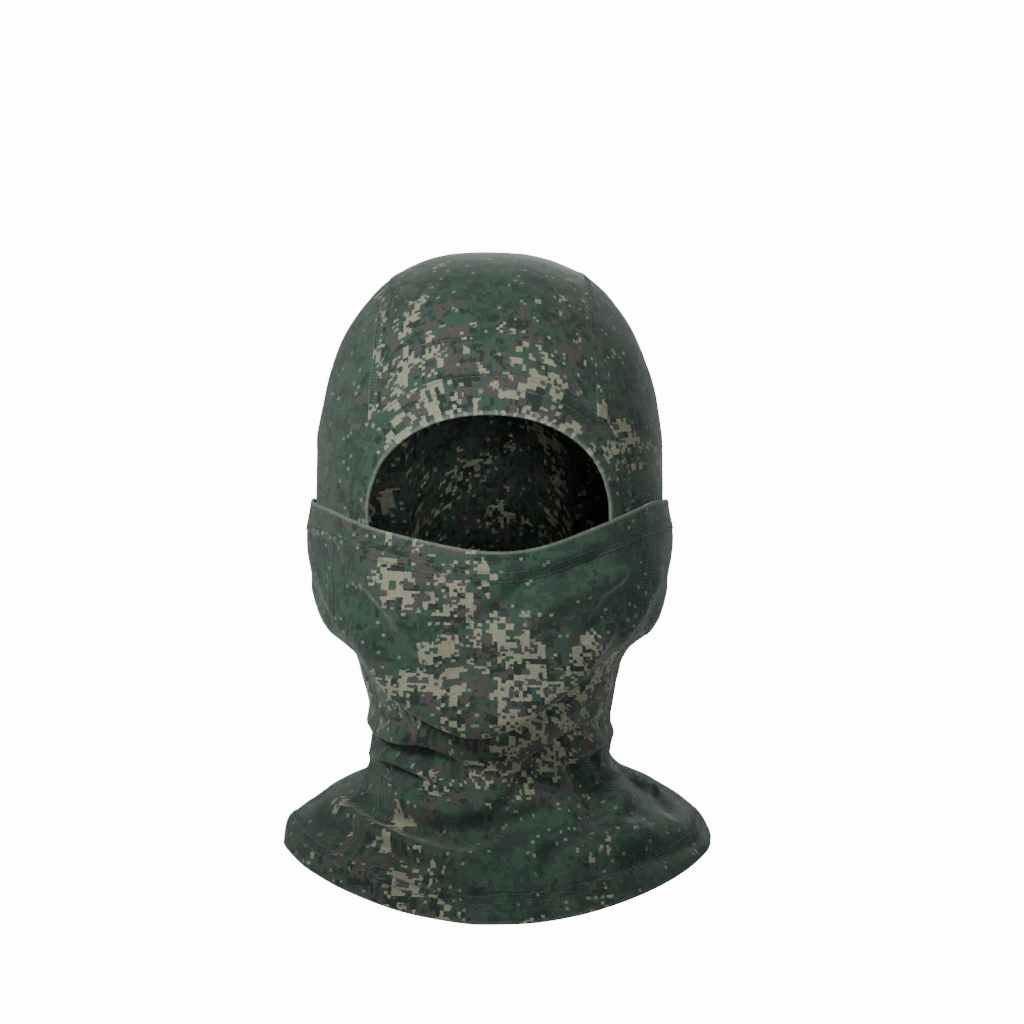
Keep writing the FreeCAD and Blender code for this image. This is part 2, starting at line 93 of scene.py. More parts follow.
def camo_knit(name):
    """The printed knit. Attribute sandy raises the share of pale patches, plain hides patches."""
    material = bpy.data.materials.new(name)
    material.use_nodes = True
    tree = material.node_tree
    shader = tree.nodes["Principled BSDF"]
    uv = {0: add(tree, "ShaderNodeUVMap", uv_map="cloth").outputs[0], 3: 1000.0}
    place = add(tree, "ShaderNodeVectorMath", uv, operation="SCALE").outputs[0]
    # the ink bleeds a little into the nap, so no square has a clean edge
    bleed = add(tree, "ShaderNodeTexNoise", {"Vector": place, "Scale": 1.1, "Detail": 1.0})
    bleed = {0: bleed.outputs["Color"], 1: (1.1, 1.1, 0), 2: place}
    place = add(tree, "ShaderNodeVectorMath", bleed, operation="MULTIPLY_ADD").outputs[0]
    sandy = add(tree, "ShaderNodeAttribute", attribute_name="sandy").outputs["Fac"]
    plain = add(tree, "ShaderNodeAttribute", attribute_name="plain").outputs["Fac"]

    inks = []
    layers = (
        # colour, patch span in mm, shift, stretch, level, how sandy and plain move the level
        ("#202f28", 17.0, (31.0, 55.0, 0), 1.1, 0.50, 0.00, -0.01),
        ("#393634", 13.0, (57.0, 91.0, 0), 1.2, 0.53, -0.03, 0.14),
        ("#6b6c5a", 19.0, (203.0, 17.0, 0), 0.9, 0.595, -0.095, 0.17),
        ("#18241e", 10.0, (11.0, 5.0, 0), 1.1, 0.555, -0.01, 0.06),
        ("#263b30", 9.0, (401.0, 77.0, 0), 1.0, 0.585, -0.02, 0.00),
        ("#383534", 6.5, (91.0, 307.0, 0), 1.1, 0.58, -0.02, 0.13),
    )
    for code, span, shift, stretch, level, by_sandy, by_plain in layers:
        for moved, by in ((sandy, by_sandy), (plain, by_plain)):
            limit = {0: moved, 1: by, 2: level}
            level = add(tree, "ShaderNodeMath", limit, operation="MULTIPLY_ADD").outputs[0]
        field = patch_field(tree, place, span, shift, stretch)
        inks.append((add(tree, "ShaderNodeMath", {0: field, 1: level}, operation="GREATER_THAN"), code))
    # single pale squares scattered over the ground
    dots = add(tree, "ShaderNodeTexWhiteNoise", {"Vector": cells(tree, place, FINE_CELL, (3.0, 8.0, 0))})
    dots = {0: dots.outputs["Value"], 1: 0.982}
    inks.append((add(tree, "ShaderNodeMath", dots, operation="GREATER_THAN"), "#56615a"))
    # a painted highlight: a pale colour laid along the folded edges of the hems, where light catches them
    inks.append((add(tree, "ShaderNodeAttribute", attribute_name="rim"), "#8c978a"))
    ground = colour("#263b30")
    for where, code in inks:
        where = where.outputs["Fac" if "Fac" in where.outputs else 0]
        laid = {0: where, 6: ground, 7: colour(code)}
        ground = add(tree, "ShaderNodeMix", laid, data_type="RGBA").outputs[2]

    # the nap breaks the ink up a little, and the rib of the knit runs along the cloth
    nap = add(tree, "ShaderNodeTexNoise", {"Vector": place, "Scale": 1.6, "Detail": 3.0})
    worn = add(tree, "ShaderNodeMapRange", {0: nap.outputs["Fac"], 1: 0.3, 2: 0.7, 3: 0.74, 4: 1.26})
    ink = add(tree, "ShaderNodeVectorMath", {0: ground, 3: worn.outputs[0]}, operation="SCALE")
    tree.links.new(ink.outputs[0], shader.inputs["Base Color"])
    waves = {"Vector": place, "Scale": 0.33, "Distortion": 0.6, "Detail": 1.0, "Detail Scale": 2.0}
    rib = add(tree, "ShaderNodeTexWave", waves, bands_direction="X")
    relief = {0: nap.outputs["Fac"], 1: 0.8, 2: rib.outputs["Fac"]}
    relief = add(tree, "ShaderNodeMath", relief, operation="MULTIPLY_ADD")
    bump = add(tree, "ShaderNodeBump", {"Height": relief.outputs[0], "Strength": 0.35, "Distance": 0.00025})
    tree.links.new(bump.outputs[0], shader.inputs["Normal"])
    shader.inputs["Roughness"].default_value = 0.86
    shader.inputs["Specular IOR Level"].default_value = 0.25
    shader.inputs["Sheen Weight"].default_value = 0.25
    shader.inputs["Sheen Roughness"].default_value = 0.45
    shader.inputs["Sheen Tint"].default_value = colour("#b9c4bb")
    return material


knit = camo_knit("brushed camouflage jersey")


def plain_cloth(name, code, roughness=0.85):
    material = bpy.data.materials.new(name)
    material.use_nodes = True
    shader = material.node_tree.nodes["Principled BSDF"]
    shader.inputs["Base Color"].default_value = colour(code)
    shader.inputs["Roughness"].default_value = roughness
    shader.inputs["Sheen Weight"].default_value = 0.2
    return material


thread = plain_cloth("dull green polyester thread", "#2c3b33", 0.75)
elastic_tape = plain_cloth("black knitted elastic", "#1c1d1c")

# Where the print is sandy or plain, as round areas seen from the front: x, z, radius, strength.
SANDY = (
    (-24, 74, 26, 1.0), (-40, 52, 18, 0.9), (12, 84, 22, 0.5), (30, 60, 20, 0.6), (64, 34, 18, 1.1),
    (76, 14, 12, 0.8), (-45, -36, 24, 0.8), (-12, -42, 32, 1.1), (26, -60, 30, 1.1), (30, -38, 20, 0.8),
    (52, -60, 22, 0.8), (0, -84, 28, 0.9), (-48, -82, 18, 0.9), (16, -102, 30, 0.9), (26, -124, 24, 1.1),
    (-30, -128, 20, 0.6), (58, -140, 9, 1.2), (50, -166, 18, 1.4), (-31, -172, 17, 1.1),
    (-66, -158, 22, 0.7), (14, -182, 14, 0.8), (0, 30, 80, 0.35),
)
PLAIN = (
    (0, 112, 30, 0.9), (-66, 30, 26, 0.7), (70, 66, 24, 0.7), (76, -4, 22, 0.8), (24, -18, 26, 1.2),
    (66, -26, 28, 1.1), (-76, -24, 20, 0.8), (-66, -50, 20, 1.0), (86, -150, 34, 1.4), (-36, -56, 14, 0.7),
    (-70, 80, 30, 0.5), (8, -160, 26, 1.2), (-92, -144, 22, 0.9), (42, -6, 22, 0.8), (-46, -118, 16, 0.8),
    (30, -152, 14, 0.8), (80, -172, 20, 0.9),
)


def areas(points, spots, behind):
    """How strongly each point lies in the round areas, from 0 to about 1. They are on the front;
    the back has the same value all over."""
    total = np.zeros(points.shape[:-1])
    for x, z, radius, strength in spots:
        away = (points[..., 0] - x) ** 2 + (points[..., 2] - z) ** 2
        total += strength * np.exp(-away / radius**2)
    share = smooth_step((points[..., 1] + 10) / 40)
    return np.clip(total, 0, 1.2) * (1 - share) + behind * share


# ---- cut cloth --------------------------------------------------------------------------
# Every panel, hem and band is a piece of cloth laid out as a grid of points in millimetres.
# The print has its own place on the flat cloth, so that it bends with the panel.
MM = 0.001


def grid_faces(columns, rows, round_rows=False):
    i, j = np.meshgrid(np.arange(columns - 1), np.arange(rows if round_rows else rows - 1), indexing="ij")
    after = (j + 1) % rows
    corners = [i * rows + j, (i + 1) * rows + j, (i + 1) * rows + after, i * rows + after]
    return np.stack(corners, -1).reshape(-1, 4)


def cloth_piece(name, points, uv, material, thickness=None, round_rows=False, rim=None):
    """A piece from a grid of points in mm with the print's place of each in mm. A flat grid's
    faces are turned to point away from the head, and its thickness grows inwards."""
    columns, rows = points.shape[:2]
    faces = grid_faces(columns, rows, round_rows)
    if thickness:
        a, b, c, d = (points.reshape(-1, 3)[faces[:, k]] for k in range(4))
        middle = (a + c) / 2
        away = middle - np.stack([0 * middle[:, 0], 0 * middle[:, 1], np.minimum(middle[:, 2], 0)], -1)
        if (np.cross(c - a, d - b) * away).sum() < 0:
            faces = faces[:, ::-1]
    mesh = bpy.data.meshes.new(name)
    mesh.from_pydata((points.reshape(-1, 3) * MM).tolist(), [], faces.tolist())
    mesh.materials.append(material)
    mesh.polygons.foreach_set("use_smooth", np.ones(len(faces), bool))
    if uv is not None:
        layer = mesh.uv_layers.new(name="cloth")
        corner = np.zeros(len(mesh.loops), np.int32)
        mesh.loops.foreach_get("vertex_index", corner)
        layer.data.foreach_set("uv", (uv.reshape(-1, 2)[corner] * MM).ravel())
        for kind, spots, behind in (("sandy", SANDY, 0.55), ("plain", PLAIN, 0.1)):
            values = areas(points.reshape(-1, 3), spots, behind)
            mesh.attributes.new(kind, "FLOAT", "POINT").data.foreach_set("value", values.astype(np.float32))
        # rim carries the painted highlight along a hem's folded edge
        if rim is not None:
            values = np.broadcast_to(rim, points.shape[:2]).ravel().astype(np.float32)
            mesh.attributes.new("rim", "FLOAT", "POINT").data.foreach_set("value", values)
    piece = bpy.data.objects.new(name.replace(" ", "_"), mesh)
    bpy.context.collection.objects.link(piece)
    if thickness:
        solid = piece.modifiers.new("thickness of the cloth", "SOLIDIFY")
        solid.thickness = thickness * MM
        solid.offset = -1
    return piece


def normals(grid, wraps=False):
    """Outward unit normals of a grid whose columns run to the left and rows run down."""
    if wraps:
        across = np.roll(grid, -1, 0) - np.roll(grid, 1, 0)
    else:
        across = np.gradient(grid, axis=0)
    down = np.gradient(grid, axis=1)
    n = np.cross(down, across)
    return n / np.maximum(np.linalg.norm(n, axis=-1, keepdims=True), 1e-9)


def smooth_step(t):
    t = np.clip(t, 0, 1)
    return t * t * (3 - 2 * t)


def print_place(points, start_column):
    """Where each point of a panel lies on the flat cloth: across from a column and down from the
    first row, in mm along the cloth, evened out so that the print drifts gently."""
    across = np.linalg.norm(np.diff(points, axis=0), axis=-1)
    u = np.concatenate([np.zeros((1, points.shape[1])), np.cumsum(across, 0)])
    u -= u[start_column]
    down = np.linalg.norm(np.diff(points, axis=1), axis=-1)
    v = np.concatenate([np.zeros((points.shape[0], 1)), np.cumsum(down, 1)], 1)
    return np.stack([evened(u, 12), -evened(v.T, 16).T], -1)


def evened(values, reach):
    """Values averaged over so many neighbours along their second axis."""
    window = np.hanning(2 * reach + 3)[1:-1]
    window /= window.sum()
    padded = np.pad(values, ((0, 0), (reach, reach)), mode="reflect", reflect_type="odd")
    return np.stack([np.convolve(row, window, "valid") for row in padded])


# ---- the head form under the cloth ------------------------------------------------------
# The shape of a head, neck and shoulders in a worn mask. Nothing of it is made: it only says
# where the hood and the gaiter lie.
EQUATOR_Z = 5.0
CROWN_RISE = 116.0
PLAN_POWER, CROWN_POWER = 2.2, 2.45
# Level, half width, reach to the front and reach to the back, from the shoulders up.
FORM = np.array([
    (-190, 103.0, 91.0, 90.0), (-174, 101.5, 84.0, 86.0), (-160, 98.9, 76.5, 81.0),
    (-148, 92.0, 69.5, 74.0), (-137, 76.0, 64.0, 66.0), (-127, 57.5, 62.5, 60.0),
    (-112, 53.5, 70.0, 59.0), (-97, 54.5, 87.0, 60.5), (-82, 57.5, 96.5, 64.0),
    (-68, 62.0, 100.0, 69.0), (-56, 74.0, 102.5, 75.0), (-42, 79.5, 103.5, 82.0),
    (-20, 83.8, 102.5, 92.0), (5, 83.0, 98.0, 98.0),
])


def form_at(z):
    """Half width, front reach and back reach at a level below the widest."""
    levels = FORM[:, 0]
    i = np.clip(np.searchsorted(levels, z, side="right") - 1, 0, len(levels) - 2)
    span = levels[i + 1] - levels[i]
    t = np.clip((z - levels[i]) / span, 0, 1)
    found = []
    for k in (1, 2, 3):
        size = FORM[:, k]
        slope = np.zeros(len(levels))
        slope[1:-1] = (size[2:] - size[:-2]) / (levels[2:] - levels[:-2])
        slope[0] = (size[1] - size[0]) / (levels[1] - levels[0])
        found.append(
            (2 * t**3 - 3 * t**2 + 1) * size[i] + (t**3 - 2 * t**2 + t) * span * slope[i]
            + (3 * t**2 - 2 * t**3) * size[i + 1] + (t**3 - t**2) * span * slope[i + 1]
        )
    return found


def form_point(turn, z, out=0.0):
    """Points of the form below its widest level. turn is 0 at the face and 90 at the left ear."""
    s, c = np.sin(np.radians(turn)), np.cos(np.radians(turn))
    half, front, back = form_at(z)
    reach = np.where(c > 0, front, back) + out
    r = (np.abs(s / (half + out)) ** PLAN_POWER + np.abs(c / reach) ** PLAN_POWER) ** (-1 / PLAN_POWER)
    return np.stack(np.broadcast_arrays(r * s, -r * c, z), -1)


# ---- the gaiter's cloth -----------------------------------------------------------------
# One tube of cloth, worked out as a grid of 720 columns round it and rows down it. Its hems,
# panels and seams are all cut from this grid, so they share every fold.
EASE = 3.6  # the gaiter's outside stands off the hood's by this
HEM = 14.0
COLUMNS, BODY_ROWS = 720, 186
TURNS = np.linspace(-180, 180, COLUMNS, endpoint=False)
SEAM_TURN = 50.0


def edge_level(turn, side, front_drop, back_drop):
    c = np.cos(np.radians(turn))
    return side - np.where(c > 0, front_drop, back_drop) * np.abs(c) ** 1.65


# The cover's edge runs from ear to ear, lowest under the nose and a little higher on the left.
COVER_EDGE = (
    (-100, 2), (-70, 3), (-47, 2), (-38, -2), (-22, -6.5), (-13, -9.5), (0, -13.5), (11, -12.5),
    (20, -7.5), (30, -2.5), (42, 2.5), (54, 5.5), (66, 5), (84, 2), (100, 1.5),
)


def top_level(turn):
    turns, levels = np.array(COVER_EDGE).T
    fine = np.arange(-110, 111)
    edge = np.interp(np.arange(-122, 123), turns, levels)
    edge = np.convolve(edge, np.hanning(27)[1:-1] / 13, "valid")
    share = smooth_step((100 - np.abs(turn)) / 12)
    return share * np.interp(turn, fine, edge) + (1 - share) * edge_level(turn, 2.0, 16.0, 26.0)


def gaiter_rows():
    """The level of each row of each column: a row for each millimetre of both hems, and the
    rest evenly between them."""
    top, bottom = top_level(TURNS), edge_level(TURNS, -160.0, 24.0, 14.0)
    levels = []
    for turn, high, low in zip(TURNS, top, bottom):
        z = np.linspace(high, low, 500)
        way = form_point(turn, z, EASE)
        length = np.concatenate([[0], np.cumsum(np.linalg.norm(np.diff(way, axis=0), axis=1))])
        body = np.linspace(HEM, length[-1] - HEM, BODY_ROWS)
        rows = np.concatenate([np.arange(HEM), body, length[-1] - HEM + 1 + np.arange(HEM)])
        levels.append(np.interp(rows, length, z))
    return np.array(levels)


# Folds: height in mm (below 0 for a groove), how far it fades above and below its line in mm,
# and its line as turns and levels on the front of the gaiter.
FOLDS = (
    # the cover, drawn from both ears to the chin
    (-1.3, 5, 8, ((-60, -6), (-53, -12), (-44, -20), (-37, -28), (-28, -47), (-26, -61))),
    (1.5, 7, 6, ((-70, -20), (-60, -32), (-50, -46), (-42, -58))),
    (-1.1, 4, 6, ((-62, -42), (-52, -54), (-43, -68), (-34, -80))),
    (1.8, 7, 6, ((-50, -14), (-38, -24), (-24, -38), (-16, -56), (-11, -74))),
    (-1.9, 4, 7, ((-20, -26), (-12, -40), (-7, -58), (-5, -76))),
    (-2.2, 4, 8, ((10, -25), (5, -34), (-2, -42), (-8, -48))),
    (-2.8, 3, 8, ((3, -29), (8, -25), (18, -20), (26, -17), (36, -12), (50, -10))),
    (1.8, 6, 5, ((8, -38), (20, -32), (32, -28), (44, -26))),
    (-2.0, 5, 7, ((52, -18), (38, -32), (28, -46), (20, -60))),
    (1.6, 6, 6, ((64, -26), (50, -42), (38, -56))),
    (1.6, 8, 6, ((-82, -34), (-72, -46), (-58, -56))),
    (1.6, 8, 6, ((84, -36), (72, -48), (58, -58))),
    # the swag that hangs under the chin
    (4.4, 15, 5, ((-52, -50), (-38, -60), (-30, -74), (-15, -87), (0, -93), (14, -80), (23, -70),
                  (30, -58), (38, -44))),
    (-3.4, 5, 6, ((-62, -67), (-48, -82), (-30, -92), (-15, -99), (-2, -101), (9, -95), (18, -87),
                  (33, -76), (41, -62))),
    # rolls round the neck
    (2.4, 5, 4, ((-96, -102), (-70, -104), (-46, -104), (-29, -102), (-16, -103))),
    (-3.4, 3, 5, ((-100, -109), (-66, -109), (-46, -108), (-30, -109), (-17, -113), (-4, -120))),
    (2.8, 4, 4, ((-80, -116), (-56, -115), (-40, -114), (-27, -117), (-14, -123))),
    (-2.2, 3, 4, ((-70, -123), (-50, -121), (-36, -121), (-24, -124))),
    (2.4, 4, 5, ((-90, -127), (-60, -127), (-40, -127), (-18, -130), (0, -126))),
    (-3.2, 3, 5, ((70, -100), (44, -100), (30, -103), (21, -109), (13, -118), (9, -126))),
    (2.2, 4, 5, ((96, -108), (62, -108), (42, -109), (30, -113), (22, -121))),
    (-2.0, 4, 5, ((58, -116), (46, -117), (34, -122))),
    # the second swag, on the shoulders' edge
    (3.6, 9, 3.5, ((-54, -130), (-35, -135), (-22, -139), (-12, -138), (0, -131), (9, -119))),
    (-4.8, 3.5, 6, ((-62, -134), (-39, -141), (-22, -144), (-5, -144), (12, -139), (28, -131))),
    (-3.0, 6, 7, ((35, -110), (40, -125), (38, -138), (34, -147))),
    (3.8, 5, 6, ((72, -124), (58, -131), (45, -138), (38, -148))),
    # the drape
    (3.0, 5, 7, ((-96, -146), (-78, -152), (-58, -159), (-40, -165), (-24, -170))),
    (-2.8, 5, 4, ((98, -146), (80, -153), (62, -158), (46, -161), (34, -166))),
    (3.8, 4, 8, ((-78, -136), (-66, -139), (-52, -143), (-41, -147), (-30, -152), (-14, -157),
                 (-4, -155), (4, -150))),
    (-3.4, 6, 3.5, ((-74, -143), (-60, -147), (-44, -151), (-30, -157), (-12, -162))),
    (4.2, 5, 8, ((56, -146), (46, -149), (36, -152), (27, -156), (20, -161), (14, -166))),
    (-3.0, 5, 4, ((18, -150), (18, -158), (13, -166))),
    (-2.6, 4, 5, ((-36, -154), (-28, -161), (-18, -167), (-8, -173), (0, -175))),
    (-3.0, 5, 5, ((92, -128), (82, -133), (72, -140), (66, -147))),
    # rolls at the nape
    (2.2, 8, 5, ((120, -62), (150, -70), (180, -72), (210, -70), (240, -62))),
    (-2.4, 5, 6, ((112, -76), (150, -84), (180, -86), (210, -84), (248, -76))),
    (2.6, 6, 5, ((104, -96), (150, -102), (180, -103), (210, -102), (256, -96))),
    (-2.6, 5, 5, ((104, -108), (150, -114), (180, -115), (210, -113), (256, -106))),
    (2.0, 6, 8, ((108, -140), (140, -146), (176, -150))),
    (-1.8, 6, 8, ((190, -138), (220, -146), (246, -150))),
)


def path_through(corners, step):
    """A smooth line through corner points, with a point about every step."""
    corners = np.array(corners, float)
    ends = np.vstack([2 * corners[0] - corners[1], corners, 2 * corners[-1] - corners[-2]])
    line = []
    for a, b, c, d in zip(ends, ends[1:], ends[2:], ends[3:]):
        t = np.linspace(0, 1, max(int(np.linalg.norm(c - b) / step), 2), endpoint=False)[:, None]
        line.append(0.5 * (2 * b + (c - a) * t + (2 * a - 5 * b + 4 * c - d) * t**2
                           + (3 * b - a - 3 * c + d) * t**3))
    return np.vstack(line + [corners[-1:]])


def fold_height(points, outward, height, reach_above, reach_below, corners):
    """How far one fold lifts each point off the form."""
    turn_level = path_through(corners, 2.0)
    line = form_point(turn_level[:, 0], turn_level[:, 1], EASE)
    far = 3 * max(reach_above, reach_below)
    near = np.all((points > line.min(0) - far) & (points < line.max(0) + far), -1)
    spot, n = points[near], outward[near]
    away = spot[:, None, :] - line[None]
    nearest = np.argmin((away**2).sum(-1), 1)
    away = away[np.arange(len(spot)), nearest]
    along = np.gradient(line, axis=0)
    along /= np.linalg.norm(along, axis=1, keepdims=True)
    along = along[nearest]
    past = np.abs((away * along).sum(-1))
    upward = np.cross(n, along)
    upward *= np.sign(upward[:, 2:] + 1e-9)
    rise = (away * upward).sum(-1)
    reach = np.where(rise > 0, reach_above, reach_below)
    place = nearest / (len(line) - 1)
    ends = smooth_step(place / 0.22) * smooth_step((1 - place) / 0.22)
    lifted = np.zeros(points.shape[:-1])
    lifted[near] = height * ends * np.exp(-((rise / reach) ** 2) - (past / 6) ** 2)
    return lifted


def ripple(points, span, seed):
    """Small uneven waves, from -1 to 1, about span mm long."""
    chance = np.random.default_rng(seed)
    total = np.zeros(points.shape[:-1])
    for _ in range(9):
        way = chance.normal(size=3)
        way *= 2 * np.pi / (span * chance.uniform(0.7, 1.5) * np.linalg.norm(way))
        total += np.sin(points @ way + chance.uniform(0, 2 * np.pi))
    return total / 4.5


def gaiter_grid(base, levels):
    outward = normals(base, wraps=True)
    # the cloth is tight on the cheeks, and slack in folds round the neck and over the shoulders
    turned = np.abs(TURNS)[:, None]
    slack = smooth_step((-58 - levels) / 44)
    side_on = smooth_step((turned - 44) / 22) * smooth_step((126 - turned) / 20)
    behind = smooth_step((turned - 96) / 20)
    depth = (1.8 + 0.4 * slack) * (1 - side_on) * (1 - behind) + 1.1 * side_on * (1 - behind) + 0.8 * behind
    height = (0.35 + 0.5 * slack) * ripple(base, 26, 4) + 0.15 * ripple(base, 9, 9)
    for fold in FOLDS:
        height = height + depth * fold_height(base, outward, *fold)
    # a knit this soft makes round folds: no groove or ridge is sharp or very deep
    height = np.where(height < 0, 7.5 * np.tanh(height / 7.5), 9.5 * np.tanh(height / 9.5))
    height[:, 1:-1] = 0.25 * height[:, :-2] + 0.5 * height[:, 1:-1] + 0.25 * height[:, 2:]
    height = 0.25 * np.roll(height, 1, 0) + 0.5 * height + 0.25 * np.roll(height, -1, 0)
    # beside the face the hood lies close under the gaiter, so no groove reaches down to it
    over_hood = smooth_step((turned - 26) / 10) * smooth_step((levels + 102) / 8)
    height = np.where(height < 0, height * (1 - over_hood) + over_hood * 1.5 * np.tanh(height / 1.5), height)
    # a fold never lifts an edge's hem far, because the hem's elastic holds it to the head
    row = np.arange(levels.shape[1])
    height = height * (0.35 + 0.65 * smooth_step(row / 16))
    height -= 1.4 * smooth_step((turned - 46) / 14) * (1 - smooth_step(row / 14))
    shaped = base + outward * height[..., None]
    # the drape hangs a little to the left shoulder
    shaped[..., 0] += 4.0 * smooth_step((-116 - levels) / 26)
    return shaped


gaiter_levels = gaiter_rows()
gaiter_base = form_point(TURNS[:, None], gaiter_levels, EASE)
gaiter = gaiter_grid(gaiter_base, gaiter_levels)
gaiter_out = normals(gaiter, wraps=True)
ROWS = gaiter.shape[1]


def column_of(turn):
    return (np.asarray(turn, float) + 180) / 360 * COLUMNS


# Where the print lies on the gaiter: across, by the turn at close to one radius, as the panels
# are cut nearly straight, and down, by the length of the cloth at the cheek. The print on the
# back panel starts at the nape.
PRINT_RADIUS = 85.0


def gaiter_print(turn, grid, base):
    reach = 0.85 * PRINT_RADIUS + 0.15 * np.linalg.norm(base[..., :2], axis=-1)
    levels = np.linspace(12, -190, 600)
    line = form_point(45, levels, EASE)
    length = np.concatenate([[0], np.cumsum(np.linalg.norm(np.diff(line, axis=0), axis=1))])
    down = np.interp(-base[..., 2], -levels, 0.55 * length + 0.45 * (12 - levels) * length[-1] / 202)
    # what the folds take up, shared out all round so that the print doesn't slant
    taken = np.linalg.norm(np.diff(grid, axis=1), axis=-1) - np.linalg.norm(np.diff(base, axis=1), axis=-1)
    taken = np.concatenate([np.zeros((COLUMNS, 1)), np.cumsum(np.maximum(taken, 0), 1)], 1)
    down += taken.mean(0)
    return np.stack([np.radians(turn)[:, None] * reach, -down], -1)


front_print = gaiter_print(TURNS, gaiter, gaiter_base)
back_print = gaiter_print(TURNS, np.roll(gaiter, COLUMNS // 2, 0), np.roll(gaiter_base, COLUMNS // 2, 0))


def between_cells(values, c, r):
    """Values of a grid at fractional columns and rows."""
    c, r = np.broadcast_arrays(c, np.clip(np.asarray(r, float), 0, ROWS - 1.001))
    i, j = np.floor(c).astype(int), np.floor(r).astype(int)
    s, t = (c - i)[..., None], (r - j)[..., None]
    i, after = i % COLUMNS, (i + 1) % COLUMNS
    return ((1 - s) * (1 - t) * values[i, j] + s * (1 - t) * values[after, j]
            + (1 - s) * t * values[i, j + 1] + s * t * values[after, j + 1])


def on_gaiter(turn, row, out=0.0):
    """Points of the gaiter at any turn and row, moved out from the cloth by so many mm."""
    c = column_of(turn)
    return between_cells(gaiter, c, row) + between_cells(gaiter_out, c, row) * np.asarray(out)[..., None]


def print_at(turn, row, behind=False):
    if behind:
        return between_cells(back_print, np.clip(column_of(turn) - COLUMNS // 2, 0, COLUMNS - 1.001), row)
    return between_cells(front_print, np.clip(column_of(turn), 0, COLUMNS - 1.001), row)


def follows(piece, nodes):
    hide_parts(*nodes)
    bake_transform(piece)
    return piece


def with_cover(piece, slot, *nodes):
    """The piece stands for these CAD nodes, which are hidden, and its transform is baked into its mesh."""
    return follows(piece, nodes)


def with_brow(piece, slot, *nodes):
    """The piece stands for these CAD nodes, which are hidden, and its transform is baked into its mesh."""
    return follows(piece, nodes)


# ---- gaiter panels ----------------------------------------------------------------------
# Two panels of jersey joined by flatlock seams beside the face. They run from hem to hem.
CLOTH = 0.9  # thickness of the brushed jersey
SEAM_HALF, SEAM_RADIUS = 2.4, 92.0
HALF_SEAM_TURN = math.degrees(SEAM_HALF / SEAM_RADIUS)
LAST = ROWS - 1


def gaiter_panel(name, start, end, columns, rows, behind=False):
    turn = np.linspace(start, end, columns)[:, None]
    row = np.linspace(HEM, LAST - HEM, rows)[None]
    return cloth_piece(name, on_gaiter(turn, row), print_at(turn, row, behind), knit, CLOTH)


near, far = SEAM_TURN - HALF_SEAM_TURN, SEAM_TURN + HALF_SEAM_TURN
front_panel = gaiter_panel("gaiter front panel", -near, near, 195, 190)
with_cover(front_panel, "camo_knit", "gaiter_front_panel")
back_panel = gaiter_panel("gaiter back panel", far, 360 - far, 300, 130, behind=True)
with_cover(back_panel, "camo_knit", "gaiter_back_panel")


# ---- hems -------------------------------------------------------------------------------
# Each hem is the panel's own edge, folded 14 mm inwards and held by two rows of cover stitch.
# Its double thickness shows as a flat step, dented by the stitches.
STITCH_ROWS = (8.8, 12.9)
FOLD_HALF, HEM_LIFT = 0.85, 0.4
INSIDE = 33  # the first point of the section on the cloth that is turned in
TURNED_IN = 60.0  # the turned-in cloth shows the print this far away


def hem_profile():
    """The closed section of a hem as (distance from the edge, how far past it, distance out)."""
    rows = np.linspace(HEM, 0, 29)
    rise = HEM_LIFT * smooth_step((HEM - rows) / 1.6)
    for stitches in STITCH_ROWS:
        rise -= 0.34 * np.exp(-(((rows - stitches) / 0.7) ** 2))
    section = [(r, 0.0, o) for r, o in zip(rows, rise)]
    for k in range(1, 8):
        a = math.pi * k / 8
        section.append((0.0, FOLD_HALF * math.sin(a), HEM_LIFT - FOLD_HALF * (1 - math.cos(a))))
    section += [(r, 0.0, HEM_LIFT - 2 * FOLD_HALF) for r in rows[::-2]]
    section += [(HEM, 0.0, -CLOTH), (HEM, 0.0, -0.3)]
    return np.array(section)


def hem_painted_highlight(profile):
    """How strongly the pale painted highlight lies on each point of a hem's section, most at the folded
    edge.
    """
    return 0.22 * np.exp(-((profile[:, 0] / 0.6) ** 2))


def gaiter_hem(name, start, end, columns, from_bottom=False, behind=False):
    turn = np.linspace(start, end, columns)[:, None]
    profile = hem_profile()
    row = (LAST - profile[:, 0] if from_bottom else profile[:, 0])[None]
    points = on_gaiter(turn, row, np.broadcast_to(profile[:, 2], (columns, len(profile))))
    edge, inner = (LAST, LAST - 1) if from_bottom else (0, 1)
    beyond = on_gaiter(turn, edge) - on_gaiter(turn, inner)
    beyond /= np.linalg.norm(beyond, axis=-1, keepdims=True)
    points = points + beyond * profile[None, :, 1:2]
    place = print_at(turn, row, behind).copy()
    place[:, INSIDE:, 1] += TURNED_IN
    # the painted highlight is kept weaker on the bottom hem
    rim = hem_painted_highlight(profile) * (0.3 if from_bottom else 1)
    if from_bottom:
        points, place, rim = points[:, ::-1], place[:, ::-1], rim[::-1]
    return cloth_piece(name, points, place, knit, round_rows=True, rim=rim)


for name, start, end, columns, from_bottom, behind in (
    ("face cover hem", -SEAM_TURN, SEAM_TURN, 241, False, False),
    ("rear top hem", SEAM_TURN, 360 - SEAM_TURN, 401, False, True),
    ("bottom hem", -180, 180, 721, True, False),
):
    hem = gaiter_hem(name, start, end, columns, from_bottom, behind)
    with_cover(hem, "camo_knit", name.replace(" ", "_"))


